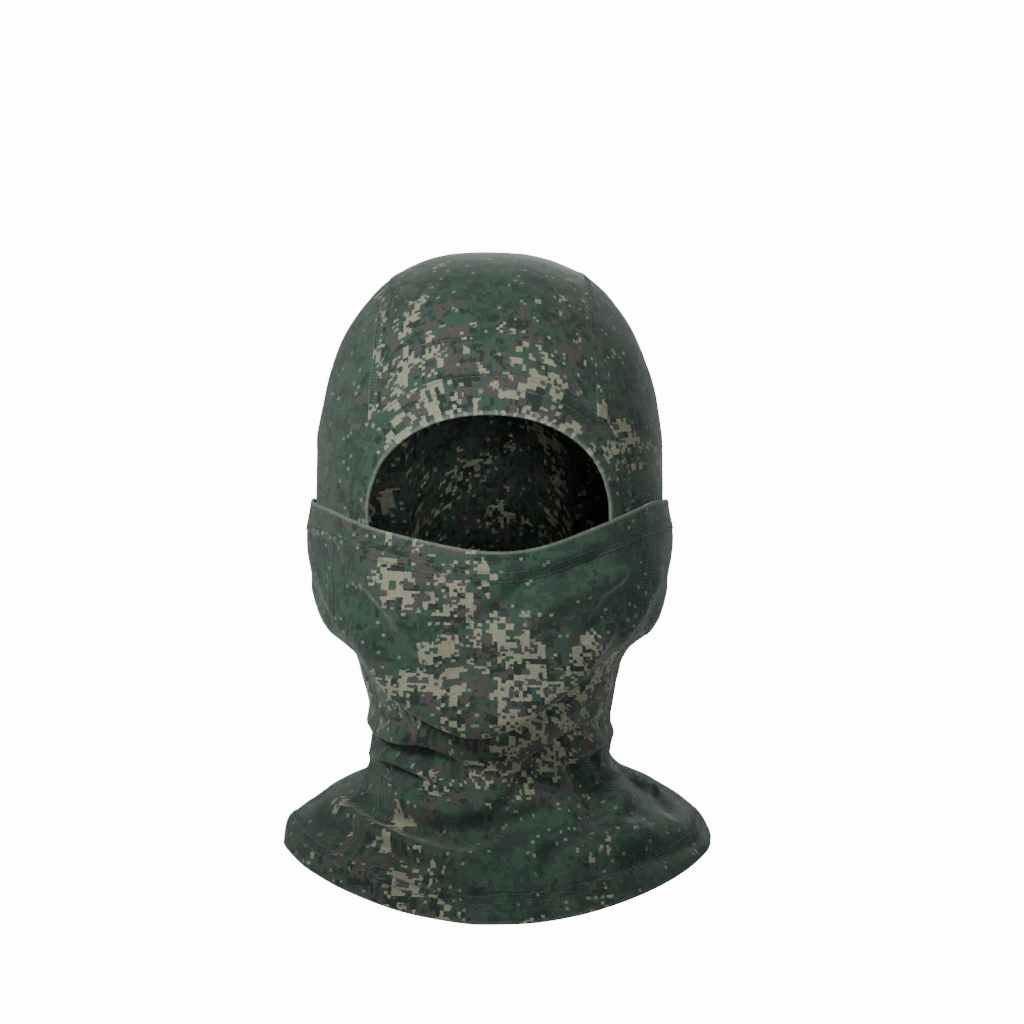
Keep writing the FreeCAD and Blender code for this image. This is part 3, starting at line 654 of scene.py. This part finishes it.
# ---- stitching --------------------------------------------------------------------------
# Every visible stitch is a short arched thread. One node tree sets them along a line: cover
# stitch runs along it, and flatlock thread crosses it at a slant.
def thread_tree():
    tree = bpy.data.node_groups.new("threads along a line", "GeometryNodeTree")
    face = tree.interface
    face.new_socket("Line", in_out="INPUT", socket_type="NodeSocketGeometry")
    for size in ("Pitch", "Length", "Thickness", "Slant"):
        face.new_socket(size, in_out="INPUT", socket_type="NodeSocketFloat")
    face.new_socket("Threads", in_out="OUTPUT", socket_type="NodeSocketGeometry")
    given = add(tree, "NodeGroupInput").outputs
    line = add(tree, "GeometryNodeMeshToCurve", {"Mesh": given["Line"]}).outputs[0]
    steps = add(tree, "GeometryNodeResampleCurve", {"Curve": line, "Length": given["Pitch"]}, mode="LENGTH")
    # one thread: a low arch from end to end, with a round section
    arch = {"Resolution": 4}
    for name, size, share, axis in (
        ("Start", "Length", -0.5, 0), ("Middle", "Thickness", 1.6, 2), ("End", "Length", 0.5, 0)
    ):
        part = add(tree, "ShaderNodeMath", {0: given[size], 1: share}, operation="MULTIPLY")
        arch[name] = add(tree, "ShaderNodeCombineXYZ", {axis: part.outputs[0]}).outputs[0]
    arch = add(tree, "GeometryNodeCurveQuadraticBezier", arch).outputs[0]
    ring = add(tree, "GeometryNodeCurvePrimitiveCircle", {"Resolution": 5, "Radius": given["Thickness"]})
    swept = {"Curve": arch, "Profile Curve": ring.outputs[0], "Fill Caps": True}
    stitch = add(tree, "GeometryNodeCurveToMesh", swept).outputs[0]
    # it lies along the line, stands up from the cloth, and is turned by the slant
    along = add(tree, "GeometryNodeInputTangent").outputs[0]
    up = add(tree, "GeometryNodeInputNamedAttribute", {"Name": "up"}, data_type="FLOAT_VECTOR")
    lay = add(tree, "FunctionNodeAlignRotationToVector", {"Vector": along}, axis="X")
    lay = {"Rotation": lay.outputs[0], "Vector": up.outputs[0]}
    lay = add(tree, "FunctionNodeAlignRotationToVector", lay, axis="Z", pivot_axis="X")
    slant = add(tree, "FunctionNodeAxisAngleToRotation", {"Axis": (0, 0, 1), "Angle": given["Slant"]})
    lay = {0: lay.outputs[0], 1: slant.outputs[0]}
    lay = add(tree, "FunctionNodeRotateRotation", lay, rotation_space="LOCAL")
    placed = {"Points": steps.outputs[0], "Instance": stitch, "Rotation": lay.outputs[0]}
    placed = add(tree, "GeometryNodeInstanceOnPoints", placed)
    real = add(tree, "GeometryNodeRealizeInstances", {0: placed.outputs[0]})
    done = add(tree, "GeometryNodeSetMaterial", {"Geometry": real.outputs[0], "Material": thread})
    add(tree, "NodeGroupOutput", {0: done.outputs[0]})
    return tree


threads = thread_tree()


def sewn(name, lines, pitch, length, thickness, slant=0.0):
    """Threads along lines, each a row of points in mm and the way up from the cloth at each."""
    points = np.concatenate([p for p, _ in lines])
    up = np.concatenate([n for _, n in lines])
    edges, start = [], 0
    for p, _ in lines:
        edges += [(k, k + 1) for k in range(start, start + len(p) - 1)]
        start += len(p)
    mesh = bpy.data.meshes.new(name)
    mesh.from_pydata((points * MM).tolist(), edges, [])
    mesh.attributes.new("up", "FLOAT_VECTOR", "POINT").data.foreach_set("vector", up.ravel())
    guide = bpy.data.objects.new(name + " line", mesh)
    bpy.context.collection.objects.link(guide)
    rows = guide.modifiers.new("threads", "NODES")
    rows.node_group = threads
    sockets = {item.name: item.identifier for item in threads.interface.items_tree}
    for key, value in (("Pitch", pitch), ("Length", length), ("Thickness", thickness)):
        rows[sockets[key]] = value * MM
    rows[sockets["Slant"]] = slant
    bpy.context.view_layer.update()
    shown = guide.evaluated_get(bpy.context.evaluated_depsgraph_get())
    made = bpy.data.meshes.new_from_object(shown)
    bpy.data.objects.remove(guide)
    made.name = name
    piece = bpy.data.objects.new(name.replace(" ", "_"), made)
    bpy.context.collection.objects.link(piece)
    return piece


def gaiter_line(turn, row, out):
    n = between_cells(gaiter_out, column_of(turn), row)
    return on_gaiter(turn, row, np.full(np.shape(turn), out)), n


def cover_stitch(name, turn, from_bottom):
    rows = [LAST - r if from_bottom else r for r in STITCH_ROWS]
    return sewn(name, [gaiter_line(turn, r, 0.22) for r in rows], 2.7, 2.1, 0.2)


for name, start, end, count, from_bottom in (
    ("face cover hem stitching", -SEAM_TURN, SEAM_TURN, 300, False),
    ("rear top hem stitching", SEAM_TURN, 360 - SEAM_TURN, 700, False),
    ("bottom hem stitching", -179.5, 179.5, 1000, True),
):
    stitching = cover_stitch(name, np.linspace(start, end, count), from_bottom)
    with_cover(stitching, "sewing_thread", name.replace(" ", "_"))


# ---- elastic inside the hems ------------------------------------------------------------
# A flat knitted band runs loose inside each top hem, between the folded cloth. It holds the
# cover up over the nose and the back close to the head.
ELASTIC_START, ELASTIC_WIDTH, ELASTIC_THICK, ELASTIC_OUT = 1.6, 6.5, 0.5, -0.45


def elastic_band(name, start, end, columns):
    turn = np.linspace(start, end, columns)[:, None]
    row = ELASTIC_START + np.linspace(0, ELASTIC_WIDTH, 5)[None]
    points = on_gaiter(turn, row, np.full((columns, 5), ELASTIC_OUT))
    band = cloth_piece(name, points, None, elastic_tape, ELASTIC_THICK)
    return with_cover(band, "knitted_elastic", name.replace(" ", "_"))


elastic_band("face cover elastic", 1 - SEAM_TURN, SEAM_TURN - 1, 81)
elastic_band("rear top elastic", SEAM_TURN + 1, 359 - SEAM_TURN, 161)


# ---- flatlock side seams ----------------------------------------------------------------
# The panels' edges butt together under a flat band of thread, a little proud of the cloth.
# Slanting threads cross the band from edge to edge.
SEAM_PROUD, SEAM_THICK = 0.22, 1.3


def seam_ridge(across):
    """How far a flatlock seam stands out, across its width from -1 to 1."""
    return SEAM_PROUD * (1 - np.abs(across) ** 4) - 0.12 * np.exp(-((across / 0.25) ** 2))


def side_seam(name, turn_middle):
    across = np.linspace(-1, 1, 9)
    turn = (turn_middle + across * HALF_SEAM_TURN * 1.25)[:, None]
    row = np.linspace(HEM - 1, LAST - HEM + 1, 190)[None]
    out = np.broadcast_to(seam_ridge(across)[:, None], (9, 190))
    return cloth_piece(name, on_gaiter(turn, row, out), print_at(turn, row), knit, SEAM_THICK)


def seam_thread(name, line):
    return sewn(name, [line], pitch=1.6, length=4.2, thickness=0.13, slant=1.25)


for word, middle in (("left", SEAM_TURN), ("right", -SEAM_TURN)):
    with_cover(side_seam(word + " side seam", middle), "sewing_thread", "side_seam_" + word)
    row = np.linspace(HEM, LAST - HEM, 400)
    line = gaiter_line(np.full(400, middle), row, 0.16)
    with_cover(seam_thread(word + " side seam thread", line), "sewing_thread")


# ---- the hood's cloth -------------------------------------------------------------------
# Three panels: one over the crown from brow to nape, and one on each side. The head form above
# its widest level is a superellipsoid, and the cloth lies on it with faint drag lines.
def form_field(p):
    """1 on the head form, less inside it and more outside."""
    x, y, z = p[..., 0], p[..., 1], p[..., 2]
    half, front, back = form_at(np.minimum(z, EQUATOR_Z))
    plan = np.abs(x / half) ** PLAN_POWER + np.abs(y / np.where(y < 0, front, back)) ** PLAN_POWER
    rise = np.maximum(z - EQUATOR_Z, 0) / CROWN_RISE
    return plan ** (CROWN_POWER / PLAN_POWER) + rise**CROWN_POWER


def form_normal(p):
    steps = np.eye(3) * 0.5
    n = np.stack([form_field(p + step) - form_field(p - step) for step in steps], -1)
    return n / np.linalg.norm(n, axis=-1, keepdims=True)


def hood_relief(p):
    """How far the hood's cloth lifts off the head: drag lines beside the crown seams and the
    brow, and the slack of a knit."""
    seam = np.exp(-(((np.abs(p[..., 0]) - 50) / 9) ** 2)) * smooth_step((p[..., 2] + 10) / 40)
    drag = 0.30 * seam * np.sin((p[..., 2] + 0.7 * np.abs(p[..., 0])) / 3.1)
    brow = 0.5 * np.exp(-(((p[..., 2] - 75 + p[..., 0] ** 2 / 160) / 6) ** 2)) * (p[..., 1] < 0)
    relief = 0.35 * ripple(p, 38, 21) + 0.10 * ripple(p, 11, 5) + drag * (p[..., 1] < 0) + brow
    return relief * (0.2 + 0.8 * smooth_step((p[..., 2] + 14) / 22))  # the gaiter presses it flat


def on_hood(p, out=0.0):
    return p + form_normal(p) * (hood_relief(p) + out)[..., None]


def crown_point(x, arc):
    """Places at distance x from the centre line on the arc over the crown. Past 180 the arc
    counts millimetres down the nape."""
    x, arc = np.broadcast_arrays(np.asarray(x, float), np.asarray(arc, float))
    nape_z = np.minimum(EQUATOR_Z - (arc - 180), EQUATOR_Z)
    half, _, back = form_at(nape_z)
    nape = np.stack([x, back * (1 - np.abs(x / half) ** PLAN_POWER) ** (1 / PLAN_POWER), nape_z], -1)
    c, s = np.cos(np.radians(arc)), np.sin(np.radians(arc))
    low, high = np.zeros(x.shape), np.full(x.shape, 2 * CROWN_RISE)
    for _ in range(34):
        r = (low + high) / 2
        inside = form_field(np.stack([x, -r * c, EQUATOR_Z + r * s], -1)) < 1
        low, high = np.where(inside, r, low), np.where(inside, high, r)
    over = np.stack([x, -low * c, EQUATOR_Z + low * s], -1)
    return np.where((arc > 180)[..., None], nape, over)


def face_point(x, z):
    half, front, _ = form_at(np.minimum(z, EQUATOR_Z))
    rise = np.maximum(z - EQUATOR_Z, 0) / CROWN_RISE
    plan = (1 - rise**CROWN_POWER) ** (PLAN_POWER / CROWN_POWER)
    left = np.maximum(plan - np.abs(x / half) ** PLAN_POWER, 0)
    return np.stack(np.broadcast_arrays(x, -front * left ** (1 / PLAN_POWER), z), -1)


# The face opening: an oval over the eyes whose sides run on down to the neck behind the cover.
OPENING_MID_Z, OPENING_HALF_WIDTH, OPENING_RISE, OPENING_POWER = 3.0, 56.0, 46.5, 2.12
HOOD_BOTTOM_Z, CHEEK_BOTTOM_X, OVAL_SHARE = -96.0, 34.0, 0.45
SEAM_BROW_X, SEAM_CROWN_X, SEAM_NAPE_X = 52.0, 44.0, 36.0
NAPE_ARC = 180 + EQUATOR_Z - HOOD_BOTTOM_Z


def opening_edge(w):
    """The opening's edge from the front: w is 0 mid-brow, 1 at the left end under the chin."""
    side, w = np.where(w < 0, -1.0, 1.0), np.abs(w)
    angle = np.radians(90 * np.clip(1 - w / OVAL_SHARE, 0, 1))
    c, s = np.cos(angle), np.sin(angle)
    size = (c**OPENING_POWER + s**OPENING_POWER) ** (-1 / OPENING_POWER)
    drop = np.clip((w - OVAL_SHARE) / (1 - OVAL_SHARE), 0, 1.1)
    narrowing = (OPENING_HALF_WIDTH - CHEEK_BOTTOM_X) * drop**2
    x = OPENING_HALF_WIDTH * size * c - narrowing
    z = OPENING_MID_Z + OPENING_RISE * size * s + (HOOD_BOTTOM_Z - OPENING_MID_Z) * drop
    return side * x, z


def opening_place(w, distance):
    """A place on the hood so far from the opening's edge, square to it."""
    w, distance = np.broadcast_arrays(np.asarray(w, float), np.asarray(distance, float))
    x, z = opening_edge(w)
    ahead, behind = opening_edge(w + 0.005), opening_edge(w - 0.005)
    nx, nz = behind[1] - ahead[1], ahead[0] - behind[0]
    size = np.hypot(nx, nz)
    nx, nz = nx / size, nz / size
    nz = nz * (1 - np.maximum(0, np.abs(w) - OVAL_SHARE) / (1 - OVAL_SHARE))
    size = np.hypot(nx, nz)
    nx, nz = nx / size, nz / size
    step = np.linalg.norm(face_point(x + 5 * nx, z + 5 * nz) - face_point(x, z), axis=-1)
    reach = distance * (1 + 0.3 * np.maximum(0, 1 - (w / OVAL_SHARE) ** 2)) * 5 / step
    return face_point(x + reach * nx, z + reach * nz)


def seam_x(arc):
    front = smooth_step((arc - 32) / 68)
    rear = np.clip((arc - 100) / (NAPE_ARC - 100), 0, 1)
    crown = SEAM_BROW_X + (SEAM_CROWN_X - SEAM_BROW_X) * front
    return crown + (SEAM_NAPE_X - crown) * rear


# Where along the brow the upper side of its hem is so far from the centre line.
brow_w = np.linspace(0, OVAL_SHARE, 400)
brow_top = opening_place(brow_w, HEM)
brow_arc = np.degrees(np.arctan2(brow_top[:, 2] - EQUATOR_Z, -brow_top[:, 1]))


def hem_end(x):
    return np.interp(np.abs(x), brow_top[:, 0], brow_w)


def crown_front(x):
    return np.interp(np.abs(x), brow_top[:, 0], brow_arc)


def crown_grid(low_x, high_x, columns, rows):
    """Places on the crown between two distances from the centre line, each from -1 to 1 seam."""
    share = np.linspace(low_x, high_x, columns)[:, None]
    first = crown_front(share * SEAM_BROW_X)
    arc = first + (NAPE_ARC - first) * np.linspace(0, 1, rows)[None]
    return crown_point(share * seam_x(arc), arc)


def side_grid(side, columns, rows):
    """Places on a side panel: crown seam above and behind, opening's hem in front."""
    def polar(p):
        turn = np.degrees(np.arctan2(p[..., 0], -p[..., 1]))
        over = np.degrees(np.arctan2(np.hypot(p[..., 0], p[..., 1]), p[..., 2] - EQUATOR_Z)) / 90
        under = 1 + (EQUATOR_Z - p[..., 2]) / (EQUATOR_Z - HOOD_BOTTOM_Z)
        return np.stack([turn, np.where(p[..., 2] < EQUATOR_Z, under, over)], -1)

    p, q = np.linspace(0, 1, columns), np.linspace(0, 1, rows)
    start = crown_front(SEAM_BROW_X)
    arc = start + (180 - start) * p
    top = polar(crown_point(seam_x(arc), arc))
    arc = 180 + (NAPE_ARC - 180) * q
    back = polar(crown_point(seam_x(arc), arc))
    w = hem_end(SEAM_BROW_X) + (1 - hem_end(SEAM_BROW_X)) * q
    front = polar(opening_place(w, HEM))
    bottom = front[-1] + (back[-1] - front[-1]) * p[:, None]
    p, q = p[:, None, None], q[None, :, None]
    patch = (1 - p) * front[None] + p * back[None] + (1 - q) * top[:, None] + q * bottom[:, None]
    patch -= (1 - q) * ((1 - p) * top[0] + p * top[-1]) + q * ((1 - p) * bottom[0] + p * bottom[-1])
    turn, level = np.radians(patch[..., 0]), patch[..., 1]
    z = EQUATOR_Z + (HOOD_BOTTOM_Z - EQUATOR_Z) * (level - 1)
    under = form_point(np.degrees(turn), np.minimum(z, EQUATOR_Z))
    lat = np.radians(90 * (1 - np.minimum(level, 1)))
    way = np.stack([np.cos(lat) * np.sin(turn), -np.cos(lat) * np.cos(turn), np.sin(lat)], -1)
    size = form_field(way * 1000 + (0, 0, EQUATOR_Z)) ** (-1 / CROWN_POWER) * 1000
    over = way * size[..., None] + (0, 0, EQUATOR_Z)
    points = np.where((level > 1)[..., None], under, over)
    return points * (side, 1, 1)


crown = on_hood(crown_grid(-1, 1, 121, 320))
crown_panel = cloth_piece("crown panel", crown, print_place(crown, 60), knit, CLOTH)
with_brow(crown_panel, "camo_knit", "crown_panel")
for side, word in ((1, "left"), (-1, "right")):
    places = on_hood(side_grid(side, 170, 190))
    # cut straight, so the print's rows lie level as seen from the side
    lie = np.stack([side * (140 + places[..., 1]), places[..., 2]], -1)
    panel = cloth_piece(word + " hood side panel", places, lie, knit, CLOTH)
    with_brow(panel, "camo_knit", "hood_side_panel_" + word)


# ---- hems of the face opening -----------------------------------------------------------
# The opening's edge is turned in all round and cover-stitched, widest over the brow. The brow
# has an elastic inside its hem.
EDGE_LENGTH = 165.0  # of the opening's edge from mid-brow to its end under the chin


def opening_hem(name, start, end, columns):
    w = np.linspace(start, end, columns)[:, None]
    profile = hem_profile()
    edge, inner = opening_place(w[:, 0], 0.0), opening_place(w[:, 0], 1.0)
    beyond = edge - inner
    beyond /= np.linalg.norm(beyond, axis=-1, keepdims=True)
    base = opening_place(w, profile[None, :, 0])
    points = on_hood(base, np.broadcast_to(profile[:, 2], base.shape[:2]))
    points = points + beyond[:, None] * profile[None, :, 1:2]
    place = np.stack(np.broadcast_arrays(w * EDGE_LENGTH, profile[None, :, 0] + 55), -1).copy()
    place[:, INSIDE:, 1] += TURNED_IN
    return cloth_piece(name, points, place, knit, round_rows=True, rim=hem_painted_highlight(profile))


def opening_stitch(name, start, end):
    w = np.linspace(start, end, 400)
    lines = []
    for row in STITCH_ROWS:
        base = opening_place(w, row)
        lines.append((on_hood(base, np.full(400, 0.22)), form_normal(base)))
    return sewn(name, lines, 2.7, 2.0, 0.17)


end = hem_end(SEAM_BROW_X)
opening_hems = (
    ("brow hem", "brow_hem", end, -end, 161),
    ("left cheek hem", "cheek_hem_left", 1, end, 121),
    ("right cheek hem", "cheek_hem_right", -end, -1, 121),
)
for name, node, start, stop, columns in opening_hems:
    with_brow(opening_hem(name, start, stop, columns), "camo_knit", node)
for name, node, start, stop, _ in opening_hems:
    stitching = opening_stitch(name + " stitching", start, stop)
    with_brow(stitching, "sewing_thread", node.replace("hem", "hem_stitching"))

w = np.linspace(end - 0.01, 0.01 - end, 81)[:, None]
places = on_hood(opening_place(w, np.linspace(ELASTIC_START, 8, 5)[None]), np.full((81, 5), ELASTIC_OUT))
band = cloth_piece("brow elastic", places, None, elastic_tape, ELASTIC_THICK)
with_brow(band, "knitted_elastic", "brow_elastic")


# ---- crown seams ------------------------------------------------------------------------
# The crown panel meets each side panel in a flatlock seam from the brow hem to the nape, made
# like the gaiter's side seams.
def crown_seam(name, side):
    across = np.linspace(-1, 1, 9)[:, None]
    start = crown_front(SEAM_BROW_X)
    arc = start - 1 + (NAPE_ARC - start) * np.linspace(0, 1, 300)[None]
    x = seam_x(arc) + across * SEAM_HALF * 1.2
    base = crown_point(x, arc) * (side, 1, 1)
    out = np.broadcast_to(seam_ridge(across), base.shape[:2])
    points = on_hood(base, out)
    place = print_place(points, 4) + (40 * side, 20)
    return cloth_piece(name, points, place, knit, SEAM_THICK)


for word, side in (("left", 1), ("right", -1)):
    with_brow(crown_seam(word + " crown seam", side), "sewing_thread", "crown_seam_" + word)
    arc = crown_front(SEAM_BROW_X) + (NAPE_ARC - crown_front(SEAM_BROW_X)) * np.linspace(0, 1, 500)
    base = crown_point(seam_x(arc), arc) * (side, 1, 1)
    line = on_hood(base, np.full(500, 0.16)), form_normal(base)
    with_brow(seam_thread(word + " crown seam thread", line), "sewing_thread")


# ---- neck join --------------------------------------------------------------------------
# One hidden line of overlock closes the hood's bottom edge onto the gaiter's inside, from
# cheek hem to cheek hem round the nape.
def neck_join():
    turned = TURNS[np.abs(TURNS) > 34]  # clear of both cheek hems
    turned = np.concatenate([turned[turned > 0], turned[turned < 0] + 360])
    columns = column_of(turned).astype(int) % COLUMNS
    levels = -HOOD_BOTTOM_Z - np.array([4, 2.5, 1])
    row = np.stack([np.interp(levels, -gaiter_levels[c], np.arange(ROWS)) for c in columns])
    points = on_gaiter(turned[:, None], row, np.full(row.shape, -1.15))
    return cloth_piece("neck join seam", points, None, thread, 0.6)


with_cover(neck_join(), "sewing_thread", "neck_join_seam")


# ---- camera, light and floor ------------------------------------------------------------
# A soft box up to the left of the face is the main light. Wide weak ones stand to the right, to
# the left and behind, and the surroundings and the paper floor are pale.
def studio():
    world = bpy.data.worlds.new("pale studio")
    world.use_nodes = True
    tree = world.node_tree
    # the surroundings light the cloth softly, and behind it they show as a bright white cloth
    seen = add(tree, "ShaderNodeLightPath").outputs["Is Camera Ray"]
    glow = add(tree, "ShaderNodeMapRange", {0: seen, 3: 0.09, 4: 14.0}).outputs[0]
    tree.links.new(glow, tree.nodes["Background"].inputs[1])
    tree.nodes["Background"].inputs[0].default_value = colour("#ffffff")
    bpy.context.scene.world = world
    # place, aim and size in metres, spread in degrees, power in watts
    for name, place, aim, size, spread, power in (
        ("key soft box", (-0.40, -0.66, 0.36), (0, -0.05, 0.06), 0.17, 66, 1.45),
        ("snoot on the face", (0.16, -1.30, 0.12), (0, 0, 0.02), 0.40, 22, 0.30),
        ("right soft box", (1.3, 0.1, 0.6), (0, 0, 0), 0.8, 150, 3.6),
        ("left soft box", (-1.3, 0.5, 0.5), (0, 0, 0), 0.8, 150, 2.8),
        ("back soft box", (0.3, 1.5, 0.8), (0, 0, 0), 1.0, 150, 12.0),
    ):
        light = bpy.data.lights.new(name, "AREA")
        light.size, light.energy, light.spread = size, power, math.radians(spread)
        lamp = bpy.data.objects.new(name, light)
        lamp.location = place
        lamp.rotation_euler = (Vector(aim) - Vector(place)).to_track_quat("-Z", "Y").to_euler()
        bpy.context.collection.objects.link(lamp)
    turns = np.radians(np.arange(0, 360, 3))
    rim = np.stack([3.2 * np.cos(turns), 3.2 * np.sin(turns), np.full(len(turns), -1.2)], -1)
    mesh = bpy.data.meshes.new("floor")
    mesh.from_pydata(rim.tolist(), [], [list(range(len(turns)))])
    paper = plain_cloth("white paper floor", "#f8f8f8")
    shader = paper.node_tree.nodes["Principled BSDF"]
    shader.inputs["Emission Color"].default_value = colour("#ffffff")
    seen = add(paper.node_tree, "ShaderNodeLightPath").outputs["Is Camera Ray"]
    glow = add(paper.node_tree, "ShaderNodeMapRange", {0: seen, 3: 0.3, 4: 9.0}).outputs[0]
    paper.node_tree.links.new(glow, shader.inputs["Emission Strength"])
    mesh.materials.append(paper)
    floor = bpy.data.objects.new("floor", mesh)
    bpy.context.collection.objects.link(floor)

    lens = bpy.data.cameras.new("camera")
    away, view_width, raised = 1.6, 0.4915, math.radians(5)
    lens.sensor_width = 36
    lens.lens = 36 * away / view_width
    camera = bpy.data.objects.new("camera", lens)
    target = Vector((0.0106, 0, -0.0034))
    back = Vector((0, -math.cos(raised), math.sin(raised)))
    camera.location = target + back * away
    camera.rotation_euler = (-back).to_track_quat("-Z", "Y").to_euler()
    bpy.context.collection.objects.link(camera)
    bpy.context.scene.camera = camera


studio()
